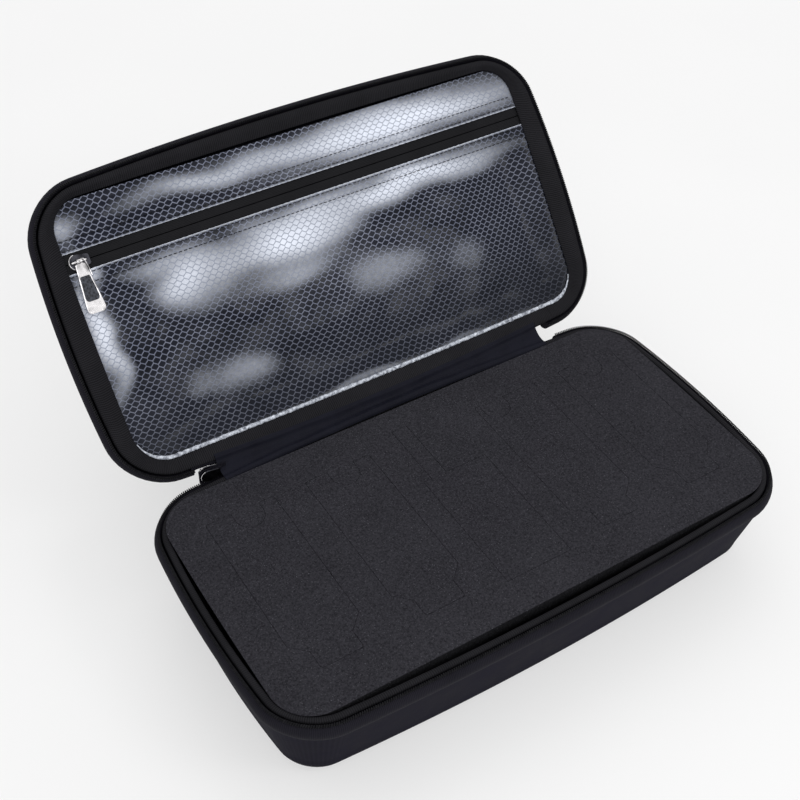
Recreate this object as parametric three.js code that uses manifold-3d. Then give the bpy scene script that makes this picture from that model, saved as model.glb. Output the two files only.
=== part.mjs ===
// Battery case for RC and drone LiPo packs: a moulded, fabric-covered clamshell shown open.
// The base is filled with die-cut foam whose battery blocks lift out. The lid has a zipped
// pocket of clear film over mesh. A zip runs round three sides and a fabric hinge joins the back.
// Millimetres. +X runs along the hinge, +Y towards it, +Z up, origin in the middle of the base's foot.
import * as THREE from "three";
import { mergeVertices } from "three/addons/utils/BufferGeometryUtils.js";
import Module from "manifold-3d";

const wasm = await Module();
wasm.setup();

// ---- Driving dimensions ----------------------------------------------------------------------

// The zip line seen from above: a rounded rectangle whose sides bow outwards.
const RIM_HALF_WIDTH = 170;
const RIM_HALF_DEPTH = 88.9;
const RIM_CORNER = 29.7;
const SIDE_BOW = 6.1;
const LONG_BOW = 6.5;

// The two half shells. Depths run from the zip plane to the outside of the floor or roof.
const BASE_DEPTH = 66;
const BASE_FILLET = 13.7;
const LID_DEPTH = 32;
const LID_FILLET = 11;
const WALL = 4.8;
const WALL_DRAFT = 0.218; // inset gained for each millimetre of depth
const SEAM_DEPTH = 13.4; // where the moulded wall steps in to the zip tape
const SEAM_INSET = 0.3;
const FLANGE_TOP = 3.2;
const FLANGE_OUTER = 2.7; // inset of the flange that carries the zip tape
const FLANGE_INNER = SEAM_INSET + WALL;
const GAP = 0.3; // clearance between pieces that touch
const LINING = 0.7;

// The hinge line runs through the middle of the back at the zip plane.
const HINGE_Y = RIM_HALF_DEPTH + LONG_BOW;
const LID_OPEN = THREE.MathUtils.degToRad(130.9);
const HINGE_HALF_WIDTH = 117;
const ZIP_LEFT_END = -135;
const ZIP_RIGHT_END = 130;

// The foam: a cut frame over a plain pad.
const FOAM = { halfWidth: 163, halfDepth: 82.1, corner: 23.3, sideBow: 1.3, longBow: 1.3 };
const FOAM_TOP = -0.2; // stands just proud of the zip plane
const FOAM_STRAIGHT_DEPTH = 12;
const FRAME_BOTTOM = 46;
const PAD_TOP = FRAME_BOTTOM + 0.4;
const PLUG_GAP = 0.3;

// Battery blocks cut in the foam frame.
const BLOCK_BACK = 60;
const BLOCK_SHOULDER = -37; // where the sides start to narrow
const NECK_HALF_WIDTH = 13;
const NECK_TOP = -46;
const BLOCK_FRONT = -58;
const BLOCK_CORNER = 2;
const NOTCH_RADIUS = 9;
const NOTCH_CENTRE_Y = 54;
const BLOCKS = [
  { name: "foam_plug_1", x: -122.9, halfWidth: 22.2, notchX: 3.2 },
  { name: "foam_plug_2", x: -57.9, halfWidth: 22.2, notchX: 2 },
  { name: "foam_plug_4", x: 65.1, halfWidth: 23.1, notchX: -10.5 },
  { name: "foam_plug_5", x: 129.1, halfWidth: 21.6, notchX: -0.8 },
];
const LEAD_BLOCK = { left: -19.3, right: 25, front: -62, back: 24, slotLeft: -13.7, slotRight: -3, slotBack: 69 };

// The lid's pocket panel, and the lip of edge binding that holds it.
const PANEL = { halfWidth: 162.6, halfDepth: 81.6, corner: 22, sideBow: 3, longBow: 4 };
const LIP = { halfWidth: 159, halfDepth: 80, corner: 19, sideBow: 1.5, longBow: 1.5, shiftY: -1.5 };
const PANEL_TOP = 4.6;
const PANEL_THICKNESS = 0.6;
const POCKET_ZIP_Y = -46.7; // measured from the case's middle towards the hinge
const POCKET_ZIP_WINDOW = 12; // width of tape left showing between the two film panels
const TAPE_SLIT = 1.6; // room between the two tapes for the slider's neck
const TAPE_WIDTH = 11;
const TAPE_HALF_LENGTH = 164;
const TAPE_TOP = PANEL_TOP + PANEL_THICKNESS + GAP;
const TAPE_THICKNESS = 0.6;
const COIL_TOP = TAPE_TOP + TAPE_THICKNESS + GAP;
const POCKET_COIL_WIDTH = 2.6;
const POCKET_COIL_THICKNESS = 1.8;
const POCKET_SLIDER_X = -152;

// Sliders and their pulls.
const PLATE_LENGTH = 14;
const PLATE_NOSE_WIDTH = 9;
const PLATE_TAIL_WIDTH = 6.6;
const PLATE_THICKNESS = 0.85;
const NECK_THICKNESS = 1;
const NECK_LENGTH = 3.2;
const BRIDGE_RADIUS = 0.7;
const BRIDGE_HALF_SPAN = 4.4;
const EYE_INNER = 1.05;
const EYE_OUTER = 1.55;
const EYE_WIDTH = 3.2;
const EYE_CLEARANCE = 0.2; // between the pull's eye and the slider
const PULL_LENGTH = 31;
const PULL_TOP_WIDTH = 6.4;
const PULL_END_WIDTH = 11.2;
const PULL_THICKNESS = 1.7;
const PULL_OFFSET = -0.3; // the tab hangs nearly flush with the top of its bridge
const INLAY = { near: 8.5, far: 24, nearWidth: 5.8, farWidth: 7.8, depth: 0.9 };
const MAIN_SLIDER_X = -125.6;
const MAIN_PLATES = [-2.3, 1.3]; // outer and inner plate, measured inwards from the hinge line
const CLOSED_END = { from: -126.9, to: -117.4, halfThickness: 0.9, halfHeight: 2.8 };

// ---- Materials -------------------------------------------------------------------------------

function material(colour, roughness, metalness = 0) {
  return new THREE.MeshStandardMaterial({ color: colour, roughness, metalness });
}

const SHELL_FABRIC = material(0x17161f, 0.7);
const LINING_FABRIC = material(0x14141a, 0.85);
const TAPE = material(0x111113, 0.85);
const COIL = material(0x1a1a1e, 0.45);
const CHARCOAL_FOAM = material(0x2b2b2f, 0.95);
const FILM = material(0x5a6478, 0.2);
const CHROME = material(0xc8c9cc, 0.2, 1);
const INLAY_BLACK = material(0x121214, 0.5);

// ---- Solids and booleans ---------------------------------------------------------------------

function toSolid(geometry) {
  const bare = geometry.clone();
  bare.deleteAttribute("normal");
  bare.deleteAttribute("uv");
  const merged = mergeVertices(bare, 1e-4);
  return new wasm.Manifold(
    new wasm.Mesh({
      numProp: 3,
      vertProperties: merged.attributes.position.array,
      triVerts: new Uint32Array(merged.index.array),
    }),
  );
}

function toGeometry(solid) {
  const { vertProperties, triVerts } = solid.getMesh();
  const geometry = new THREE.BufferGeometry();
  geometry.setAttribute("position", new THREE.BufferAttribute(vertProperties, 3));
  geometry.setIndex(new THREE.BufferAttribute(triVerts, 1));
  geometry.computeVertexNormals();
  return geometry;
}

function join(...geometries) {
  return toGeometry(geometries.map(toSolid).reduce((whole, next) => whole.add(next)));
}

function cut(geometry, ...tools) {
  return toGeometry(tools.map(toSolid).reduce((rest, tool) => rest.subtract(tool), toSolid(geometry)));
}

function overlapOf(first, second) {
  return toGeometry(toSolid(first).intersect(toSolid(second)));
}

function box(x0, x1, y0, y1, z0, z1) {
  const geometry = new THREE.BoxGeometry(x1 - x0, y1 - y0, z1 - z0);
  return geometry.translate((x0 + x1) / 2, (y0 + y1) / 2, (z0 + z1) / 2);
}

function extrude(shape, z0, z1, curveSegments = 6) {
  const geometry = new THREE.ExtrudeGeometry(shape, { depth: z1 - z0, bevelEnabled: false, curveSegments });
  return geometry.translate(0, 0, z0);
}

function signedVolume(geometry) {
  const index = geometry.index.array;
  const [a, b, c] = [new THREE.Vector3(), new THREE.Vector3(), new THREE.Vector3()];
  let volume = 0;
  for (let i = 0; i < index.length; i += 3) {
    a.fromBufferAttribute(geometry.attributes.position, index[i]);
    b.fromBufferAttribute(geometry.attributes.position, index[i + 1]);
    c.fromBufferAttribute(geometry.attributes.position, index[i + 2]);
    volume += a.dot(b.cross(c)) / 6;
  }
  return volume;
}

// A closed solid through a grid of points, rings[section point][station]. A side of the grid that
// doesn't wrap round is closed by a flat cap.
function loft(rings, { wrapSection, wrapStations, capPlane }) {
  const stationCount = rings[0].length;
  const points = rings.flat();
  const faces = [];
  const at = (j, i) => (j % rings.length) * stationCount + (i % stationCount);
  const lastJ = wrapSection ? rings.length : rings.length - 1;
  const lastI = wrapStations ? stationCount : stationCount - 1;
  for (let j = 0; j < lastJ; j++) {
    for (let i = 0; i < lastI; i++) {
      faces.push(at(j, i), at(j, i + 1), at(j + 1, i + 1));
      faces.push(at(j, i), at(j + 1, i + 1), at(j + 1, i));
    }
  }
  // A flat cap whose triangles turn the same way as its list of corners.
  const cap = (corners) => {
    const flat = corners.map((k) => capPlane(points[k]));
    const clockwise = THREE.ShapeUtils.isClockWise(flat);
    for (const face of THREE.ShapeUtils.triangulateShape(flat, [])) {
      const agrees = THREE.ShapeUtils.isClockWise(face.map((k) => flat[k])) === clockwise;
      faces.push(...(agrees ? face : face.reverse()).map((k) => corners[k]));
    }
  };
  if (!wrapSection) {
    cap(rings[0].map((_, i) => at(0, i)).reverse());
    cap(rings[0].map((_, i) => at(rings.length - 1, i)));
  }
  if (!wrapStations) {
    cap(rings.map((_, j) => at(j, 0)));
    cap(rings.map((_, j) => at(j, stationCount - 1)).reverse());
  }
  const geometry = new THREE.BufferGeometry();
  geometry.setAttribute("position", new THREE.Float32BufferAttribute(points.flatMap((p) => [p.x, p.y, p.z]), 3));
  geometry.setIndex(faces);
  if (signedVolume(geometry) < 0) geometry.setIndex(faces.reverse());
  geometry.computeVertexNormals();
  return geometry;
}

// ---- Plan outlines ---------------------------------------------------------------------------

// A station is one place round the outline: k places the centre of its corner, a points outwards.
const CORNER_STEPS = 5;
const LONG_SIDE_STEPS = 4;
const SHORT_SIDE_STEPS = 3;

function cornerStations(kx, ky, startDegrees) {
  return Array.from({ length: CORNER_STEPS + 1 }, (_, i) => {
    const angle = THREE.MathUtils.degToRad(startDegrees + (90 * i) / CORNER_STEPS);
    return { kx, ky, ax: Math.cos(angle), ay: Math.sin(angle) };
  });
}

function sideStations(steps, place) {
  return Array.from({ length: steps - 1 }, (_, i) => place(1 - (2 * (i + 1)) / steps));
}

// Counter-clockwise from the back right corner round to the right side.
const BACK_SIDE = sideStations(LONG_SIDE_STEPS, (k) => ({ kx: k, ky: 1, ax: 0, ay: 1 }));
const REST_OF_RING = [
  ...cornerStations(-1, 1, 90),
  ...sideStations(SHORT_SIDE_STEPS, (k) => ({ kx: -1, ky: k, ax: -1, ay: 0 })),
  ...cornerStations(-1, -1, 180),
  ...sideStations(LONG_SIDE_STEPS, (k) => ({ kx: -k, ky: -1, ax: 0, ay: -1 })),
  ...cornerStations(1, -1, 270),
  ...sideStations(SHORT_SIDE_STEPS, (k) => ({ kx: 1, ky: -k, ax: 1, ay: 0 })),
  ...cornerStations(1, 1, 0),
];
const WHOLE_RING = [...BACK_SIDE, ...REST_OF_RING];

function backStation(x) {
  return { kx: x / (RIM_HALF_WIDTH - RIM_CORNER), ky: 1, ax: 0, ay: 1 };
}

const ZIP_RUN = [backStation(ZIP_LEFT_END), ...REST_OF_RING, backStation(ZIP_RIGHT_END)];

function pointAt(plan, station) {
  const { halfWidth, halfDepth, corner, sideBow, longBow, shiftY = 0 } = plan;
  const x = station.kx * (halfWidth - corner) + station.ax * corner;
  const y = station.ky * (halfDepth - corner) + station.ay * corner;
  const bowX = (sideBow * (1 - (y / halfDepth) ** 2) * x) / halfWidth;
  const bowY = (longBow * (1 - (x / halfWidth) ** 2) * y) / halfDepth;
  return new THREE.Vector2(x + bowX, y + bowY + shiftY);
}

function rimInset(inset) {
  return {
    halfWidth: RIM_HALF_WIDTH - inset,
    halfDepth: RIM_HALF_DEPTH - inset,
    corner: RIM_CORNER - inset,
    sideBow: SIDE_BOW,
    longBow: LONG_BOW,
  };
}

function ring(plan, z, stations = WHOLE_RING) {
  return stations.map((station) => {
    const { x, y } = pointAt(plan, station);
    return new THREE.Vector3(x, y, z);
  });
}

const DOWN = -1; // the base's depth runs down from the zip plane
const UP = 1; // the closed lid's depth runs up from it

const seenFromAbove = (p) => new THREE.Vector2(p.x, p.y);
const seenFromTheSide = (p) => new THREE.Vector2(p.y, p.z);

// section: [inset or plan, depth] points
function ringsOf(section, direction, stations) {
  return section.map(([where, depth]) =>
    ring(typeof where === "number" ? rimInset(where) : where, direction * depth, stations),
  );
}

function capped(section, direction) {
  return loft(ringsOf(section, direction, WHOLE_RING), {
    wrapSection: false,
    wrapStations: true,
    capPlane: seenFromAbove,
  });
}

function band(section, direction) {
  return loft(ringsOf(section, direction, WHOLE_RING), { wrapSection: true, wrapStations: true });
}

function openBand(section, direction) {
  return loft(ringsOf(section, direction, ZIP_RUN), {
    wrapSection: true,
    wrapStations: false,
    capPlane: seenFromTheSide,
  });
}

// ---- Half shells -----------------------------------------------------------------------------

const WALL_STEPS = 4;

function wallInset(depth, offset) {
  return SEAM_INSET + WALL_DRAFT * Math.max(0, depth - SEAM_DEPTH) + offset;
}

// The wall and its rounded foot at an offset inwards from the outer face, from depth `from` down.
function wallSection(shell, offset, from) {
  const centreDepth = shell.depth - shell.fillet;
  const centreInset = wallInset(centreDepth, 0) + shell.fillet;
  const radius = shell.fillet - offset;
  const points = [[wallInset(from, offset), from]];
  if (from < SEAM_DEPTH) points.push([wallInset(SEAM_DEPTH, offset), SEAM_DEPTH]);
  for (let i = 0; i <= WALL_STEPS; i++) {
    const angle = (Math.PI / 2) * (i / WALL_STEPS);
    points.push([centreInset - radius * Math.cos(angle), centreDepth + radius * Math.sin(angle)]);
  }
  return points;
}

const BASE = { depth: BASE_DEPTH, fillet: BASE_FILLET, direction: DOWN };
const LID = { depth: LID_DEPTH, fillet: LID_FILLET, direction: UP };

function shellGeometry(shell) {
  const outside = wallSection(shell, 0, SEAM_DEPTH - GAP).reverse();
  const flange = [
    [FLANGE_OUTER, SEAM_DEPTH - GAP],
    [FLANGE_OUTER, FLANGE_TOP],
  ];
  const inside = wallSection(shell, WALL, FLANGE_TOP);
  return capped([...outside, ...flange, ...inside], shell.direction);
}

function liningGeometry(shell) {
  const top = FLANGE_TOP + 3;
  const outer = WALL + GAP;
  return capped(
    [...wallSection(shell, outer, top).reverse(), ...wallSection(shell, outer + LINING, top)],
    shell.direction,
  );
}

// The zip tape: a soft roll round the outside of the flange, from the coil down to the seam.
const TAPE_SECTION = [
  [1.2, 2.8],
  [-0.8, 3.2],
  [-2, 4.8],
  [-2.4, 7.2],
  [-2, 9.8],
  [-0.9, 12],
  [0.4, 12.8],
  [2.3, 12.8],
  [2.3, 2.8],
];

const COIL_RADIUS = 1.1;
const COIL_INSET = 0.1;
const COIL_DEPTH = 1.3;
const COIL_SIDES = 6;

const COIL_SECTION = Array.from({ length: COIL_SIDES }, (_, i) => {
  const angle = (2 * Math.PI * (i + 0.5)) / COIL_SIDES;
  return [COIL_INSET + COIL_RADIUS * Math.cos(angle), COIL_DEPTH + COIL_RADIUS * Math.sin(angle)];
});

// The base's binding caps the flange and turns down inside it.
const BINDING_OUTER = 2.4;
const BINDING_UNDER = FLANGE_TOP - GAP;
const BINDING_TOP = 0.7;
const BASE_BINDING_SECTION = [
  [BINDING_OUTER, BINDING_UNDER],
  [BINDING_OUTER, 1.1],
  [3.2, BINDING_TOP],
  [5.6, BINDING_TOP],
  [6.3, 1.4],
  [6.3, 5.8],
  [FLANGE_INNER + GAP, 5.8],
  [FLANGE_INNER + GAP, BINDING_UNDER],
];

// The lid's binding reaches further in, and its lip holds the edge of the pocket panel.
const LID_BINDING_SECTION = [
  [BINDING_OUTER, BINDING_UNDER],
  [BINDING_OUTER, 1.1],
  [3.2, BINDING_TOP],
  [6, 0.9],
  [LIP, 3.5],
  [LIP, 4.2],
  [7, BINDING_UNDER],
];

// ---- Foam ------------------------------------------------------------------------------------

const FOAM_CLEARANCE = WALL + GAP + LINING + 0.4;

function foamBlockGeometry() {
  return capped(
    [
      [FOAM, FOAM_TOP],
      [FOAM, FOAM_STRAIGHT_DEPTH],
      [wallInset(FRAME_BOTTOM, FOAM_CLEARANCE), FRAME_BOTTOM],
    ],
    DOWN,
  );
}

function foamPadGeometry() {
  return capped(wallSection(BASE, FOAM_CLEARANCE, PAD_TOP), DOWN);
}

// A battery block: two rounded lobes either side of a finger notch, and a narrower neck in front.
function blockShape({ x, halfWidth, notchX }, gap) {
  const half = halfWidth - gap;
  const back = BLOCK_BACK - gap;
  const neck = NECK_HALF_WIDTH - gap;
  const front = BLOCK_FRONT + gap;
  const notch = NOTCH_RADIUS + gap;
  const r = BLOCK_CORNER;
  const shape = new THREE.Shape();
  shape.absarc(x - half + r, back - r, r, Math.PI, Math.PI / 2, true);
  shape.lineTo(x + notchX - notch, back);
  shape.absarc(x + notchX, NOTCH_CENTRE_Y, notch, Math.PI, 2 * Math.PI, false);
  shape.lineTo(x + notchX + notch, back);
  shape.absarc(x + half - r, back - r, r, Math.PI / 2, 0, true);
  shape.lineTo(x + half, BLOCK_SHOULDER);
  shape.lineTo(x + neck, NECK_TOP);
  shape.absarc(x + neck - r, front + r, r, 0, -Math.PI / 2, true);
  shape.absarc(x - neck + r, front + r, r, -Math.PI / 2, -Math.PI, true);
  shape.lineTo(x - neck, NECK_TOP);
  shape.lineTo(x - half, BLOCK_SHOULDER);
  shape.closePath();
  return shape;
}

// The middle block is a plain rectangle with a slot for the battery's lead behind it.
function leadBlockShape(gap) {
  const { left, right, front, back, slotLeft, slotRight, slotBack } = LEAD_BLOCK;
  const shape = new THREE.Shape();
  shape.moveTo(left + gap, front + gap);
  shape.lineTo(right - gap, front + gap);
  shape.lineTo(right - gap, back - gap);
  shape.lineTo(slotRight - gap, back - gap);
  shape.lineTo(slotRight - gap, slotBack - gap);
  shape.lineTo(slotLeft + gap, slotBack - gap);
  shape.lineTo(slotLeft + gap, back - gap);
  shape.lineTo(left + gap, back - gap);
  shape.closePath();
  return shape;
}

const BLOCK_CURVE_STEPS = 4;
const CUT_OVERRUN = 5;

function blockGeometry(shape, overrun = 0) {
  return extrude(shape, -FRAME_BOTTOM - overrun, -FOAM_TOP + overrun, BLOCK_CURVE_STEPS);
}

function foamFrameGeometry() {
  const shapes = [...BLOCKS.map((block) => blockShape(block, 0)), leadBlockShape(0)];
  return cut(foamBlockGeometry(), ...shapes.map((shape) => blockGeometry(shape, CUT_OVERRUN)));
}

// ---- Hinge fabric ----------------------------------------------------------------------------

const HINGE_STATIONS = 9;
const toOpenLid = new THREE.Matrix4()
  .makeTranslation(0, HINGE_Y, 0)
  .multiply(new THREE.Matrix4().makeRotationX(-LID_OPEN))
  .multiply(new THREE.Matrix4().makeTranslation(0, -HINGE_Y, 0));

// A strip across the hinge, from chains of [inset, depth] points on the base side and mirrored
// on the lid side. `outer` and `inner` each run from the base towards the hinge line.
function hingeStrip(outer, inner) {
  const xs = Array.from(
    { length: HINGE_STATIONS },
    (_, i) => HINGE_HALF_WIDTH * ((2 * i) / (HINGE_STATIONS - 1) - 1),
  );
  const onBase = ([inset, depth], x) => {
    const { y } = pointAt(rimInset(inset), backStation(x));
    return new THREE.Vector3(x, y, -depth);
  };
  const onLid = (point, x) => onBase(point, x).multiply(new THREE.Vector3(1, 1, -1)).applyMatrix4(toOpenLid);
  const rings = [
    ...outer.map((point) => xs.map((x) => onBase(point, x))),
    ...[...outer].reverse().map((point) => xs.map((x) => onLid(point, x))),
    ...inner.map((point) => xs.map((x) => onLid(point, x))),
    ...[...inner].reverse().map((point) => xs.map((x) => onBase(point, x))),
  ];
  return loft(rings, { wrapSection: true, wrapStations: false, capPlane: seenFromTheSide });
}

const COVER_FOOT = 12.8;
const coverGeometry = () =>
  hingeStrip(
    [
      [0.2, COVER_FOOT],
      [0.2, 1],
    ],
    [
      [1.3, COVER_FOOT],
      [1.3, 0.8],
    ],
  );

// The last few closed teeth of the zip, sewn under the hinge cover and gripped by the slider.
function zipEndGeometry() {
  const { from, to, halfThickness, halfHeight } = CLOSED_END;
  return box(from, to, HINGE_Y - halfThickness, HINGE_Y + halfThickness, -halfHeight, halfHeight);
}

const hingeLiningGeometry = () =>
  hingeStrip(
    [
      [4, 0.4],
      [1.6, 0.4],
    ],
    [
      [4, -0.3],
      [1.6, -0.3],
    ],
  );

// ---- Lid pocket ------------------------------------------------------------------------------

function panelGeometry(fromY, toY) {
  const shape = new THREE.Shape(WHOLE_RING.map((station) => pointAt(PANEL, station)));
  const sheet = extrude(shape, PANEL_TOP, PANEL_TOP + PANEL_THICKNESS);
  return overlapOf(sheet, box(-RIM_HALF_WIDTH, RIM_HALF_WIDTH, fromY, toY, 0, LID_DEPTH));
}

function pocketTapeGeometry(side) {
  const near = POCKET_ZIP_Y + (side * TAPE_SLIT) / 2;
  const far = near + side * TAPE_WIDTH;
  const [y0, y1] = [Math.min(near, far), Math.max(near, far)];
  return box(-TAPE_HALF_LENGTH, TAPE_HALF_LENGTH, y0, y1, TAPE_TOP, TAPE_TOP + TAPE_THICKNESS);
}

function pocketCoilGeometry(side) {
  const centre = POCKET_ZIP_Y + (side * (TAPE_SLIT + POCKET_COIL_WIDTH)) / 2;
  const shape = new THREE.Shape();
  shape.absellipse(0, 0, POCKET_COIL_THICKNESS / 2, POCKET_COIL_WIDTH / 2, 0, 2 * Math.PI);
  const rod = extrude(shape, -TAPE_HALF_LENGTH, TAPE_HALF_LENGTH, 8);
  rod.rotateY(Math.PI / 2);
  return rod.translate(0, centre, COIL_TOP + POCKET_COIL_THICKNESS / 2);
}

// ---- Sliders and pulls -----------------------------------------------------------------------

// A slider plate seen flat: round nose at +x, narrower tail at -x.
function plateShape() {
  const nose = PLATE_NOSE_WIDTH / 2;
  const tail = PLATE_TAIL_WIDTH / 2;
  const end = PLATE_LENGTH / 2;
  const shape = new THREE.Shape();
  shape.moveTo(-end + 1, -tail);
  shape.lineTo(1, -nose);
  shape.bezierCurveTo(end, -nose, end, nose, 1, nose);
  shape.lineTo(-end + 1, tail);
  shape.quadraticCurveTo(-end, tail, -end, tail - 1);
  shape.lineTo(-end, -tail + 1);
  shape.quadraticCurveTo(-end, -tail, -end + 1, -tail);
  return shape;
}

const PLATE_CURVE_STEPS = 5;

// Two plates joined by a neck, and a bridge for the pull on the side of lower z.
function sliderGeometry(plates, bridgeCentre) {
  const [front, back] = plates;
  const shape = plateShape();
  const pieces = plates.map((z) => extrude(shape, z, z + PLATE_THICKNESS, PLATE_CURVE_STEPS));
  const neckX = PLATE_LENGTH / 4;
  pieces.push(
    box(neckX - NECK_LENGTH / 2, neckX + NECK_LENGTH / 2, -NECK_THICKNESS / 2, NECK_THICKNESS / 2, front, back + 0.4),
  );
  const bar = new THREE.CylinderGeometry(BRIDGE_RADIUS, BRIDGE_RADIUS, 2 * BRIDGE_HALF_SPAN, 8);
  bar.rotateZ(Math.PI / 2);
  pieces.push(bar.translate(0, 0, bridgeCentre));
  for (const side of [-1, 1]) {
    const x = side * BRIDGE_HALF_SPAN;
    pieces.push(box(x - 0.5, x + 0.5, -0.8, 0.8, bridgeCentre - BRIDGE_RADIUS, front + 0.2));
  }
  return join(...pieces);
}

// A tab outline: straight sides that widen away from the eye, rounded at the far end.
function tabShape(near, far, nearWidth, farWidth, radius) {
  const shape = new THREE.Shape();
  shape.moveTo(-nearWidth / 2, -near);
  shape.lineTo(nearWidth / 2, -near);
  shape.lineTo(farWidth / 2, -far + radius);
  shape.quadraticCurveTo(farWidth / 2, -far, farWidth / 2 - radius, -far);
  shape.lineTo(-farWidth / 2 + radius, -far);
  shape.quadraticCurveTo(-farWidth / 2, -far, -farWidth / 2, -far + radius);
  shape.closePath();
  return shape;
}

// The pull hangs along -y from its eye, which turns on the x axis. Its face is towards lower z.
function pullGeometry() {
  const tab = extrude(
    tabShape(1.25, PULL_LENGTH, PULL_TOP_WIDTH, PULL_END_WIDTH, 3),
    PULL_OFFSET,
    PULL_OFFSET + PULL_THICKNESS,
    4,
  );
  const eye = new THREE.Shape();
  eye.absarc(0, 0, EYE_OUTER, 0, 2 * Math.PI);
  eye.holes.push(new THREE.Path().absarc(0, 0, EYE_INNER, 0, 2 * Math.PI));
  const barrel = extrude(eye, -EYE_WIDTH / 2, EYE_WIDTH / 2, 6);
  barrel.rotateY(Math.PI / 2);
  const { near, far, nearWidth, farWidth, depth } = INLAY;
  const recess = extrude(tabShape(near, far, nearWidth, farWidth, 1.5), PULL_OFFSET - 1, PULL_OFFSET + depth, 3);
  return cut(join(tab, barrel), recess);
}

function inlayGeometry() {
  const { near, far, nearWidth, farWidth, depth } = INLAY;
  const shape = tabShape(near + GAP, far - GAP, nearWidth - 2 * GAP, farWidth - 2 * GAP, 1.2);
  return extrude(shape, PULL_OFFSET + 0.1, PULL_OFFSET + depth - GAP, 3);
}

// ---- Assembly --------------------------------------------------------------------------------

function named(name, geometry, look) {
  const mesh = new THREE.Mesh(geometry, look.clone());
  mesh.name = name;
  return mesh;
}

function baseParts() {
  return [
    named("base_shell", shellGeometry(BASE), SHELL_FABRIC),
    named("base_lining", liningGeometry(BASE), LINING_FABRIC),
    named("base_edge_binding", band(BASE_BINDING_SECTION, DOWN), TAPE),
    named("base_zip_tape", openBand(TAPE_SECTION, DOWN), TAPE),
    named("base_zip_coil", openBand(COIL_SECTION, DOWN), COIL),
    named("foam_base_pad", foamPadGeometry(), CHARCOAL_FOAM),
    named("foam_frame", foamFrameGeometry(), CHARCOAL_FOAM),
    ...BLOCKS.map((block) => named(block.name, blockGeometry(blockShape(block, PLUG_GAP)), CHARCOAL_FOAM)),
    named("foam_plug_3", blockGeometry(leadBlockShape(PLUG_GAP)), CHARCOAL_FOAM),
    named("hinge_cover", coverGeometry(), SHELL_FABRIC),
    named("hinge_lining", hingeLiningGeometry(), LINING_FABRIC),
    named("zip_closed_end", zipEndGeometry(), TAPE),
  ];
}

function lidParts() {
  const windowHalf = POCKET_ZIP_WINDOW / 2;
  return [
    named("lid_shell", shellGeometry(LID), SHELL_FABRIC),
    named("lid_lining", liningGeometry(LID), LINING_FABRIC),
    named("lid_edge_binding", band(LID_BINDING_SECTION, UP), TAPE),
    named("lid_zip_tape", openBand(TAPE_SECTION, UP), TAPE),
    named("lid_zip_coil", openBand(COIL_SECTION, UP), COIL),
    named("pocket_panel_far", panelGeometry(-HINGE_Y, POCKET_ZIP_Y - windowHalf), FILM),
    named("pocket_panel_near", panelGeometry(POCKET_ZIP_Y + windowHalf, HINGE_Y), FILM),
    named("pocket_tape_far", pocketTapeGeometry(-1), TAPE),
    named("pocket_tape_near", pocketTapeGeometry(1), TAPE),
    named("pocket_coil_far", pocketCoilGeometry(-1), COIL),
    named("pocket_coil_near", pocketCoilGeometry(1), COIL),
  ];
}

function pullParts(prefix) {
  const group = new THREE.Group();
  group.add(named(prefix + "_pull", pullGeometry(), CHROME));
  group.add(named(prefix + "_pull_inlay", inlayGeometry(), INLAY_BLACK));
  return group;
}

// The pocket's slider: the tapes run between its plates, and its pull lies over the near panel.
function pocketSliderParts() {
  const front = TAPE_TOP - GAP - PLATE_THICKNESS;
  const back = COIL_TOP + POCKET_COIL_THICKNESS + GAP;
  const bridgeCentre = front - EYE_OUTER - EYE_CLEARANCE;
  const slider = named("pocket_slider", sliderGeometry([front, back], bridgeCentre), CHROME);
  slider.rotation.z = Math.PI; // its nose leads towards the closed end of the zip
  const pull = pullParts("pocket");
  pull.rotation.z = Math.PI;
  pull.position.z = bridgeCentre;
  const group = new THREE.Group();
  group.position.set(POCKET_SLIDER_X, POCKET_ZIP_Y, 0);
  group.add(slider, pull);
  return group;
}

// The main slider waits on the hinge line, where the two zip tapes meet. It stands upright behind
// the base with its nose towards the open zip, and its pull hangs down outside.
function mainSliderParts() {
  const bridgeCentre = MAIN_PLATES[0] - EYE_OUTER - EYE_CLEARANCE;
  const slider = named("main_slider", sliderGeometry(MAIN_PLATES, bridgeCentre), CHROME);
  slider.rotation.z = Math.PI;
  const pull = pullParts("main");
  pull.position.z = bridgeCentre;
  const group = new THREE.Group();
  group.position.set(MAIN_SLIDER_X, HINGE_Y, BASE_DEPTH);
  group.rotation.x = Math.PI / 2;
  group.add(slider, pull);
  return group;
}

const base = new THREE.Group();
base.position.z = BASE_DEPTH;
base.add(...baseParts());

const lid = new THREE.Group();
lid.position.y = -HINGE_Y;
lid.add(...lidParts(), pocketSliderParts());

const openLid = new THREE.Group();
openLid.position.set(0, HINGE_Y, BASE_DEPTH);
openLid.rotation.x = -LID_OPEN;
openLid.add(lid);

const group = new THREE.Group();
group.add(base, openLid, mainSliderParts());

export default group;
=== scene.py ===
# Looks of the zipped battery case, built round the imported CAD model.
import math
import random

import bpy
from mathutils import Matrix, Vector, noise


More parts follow.
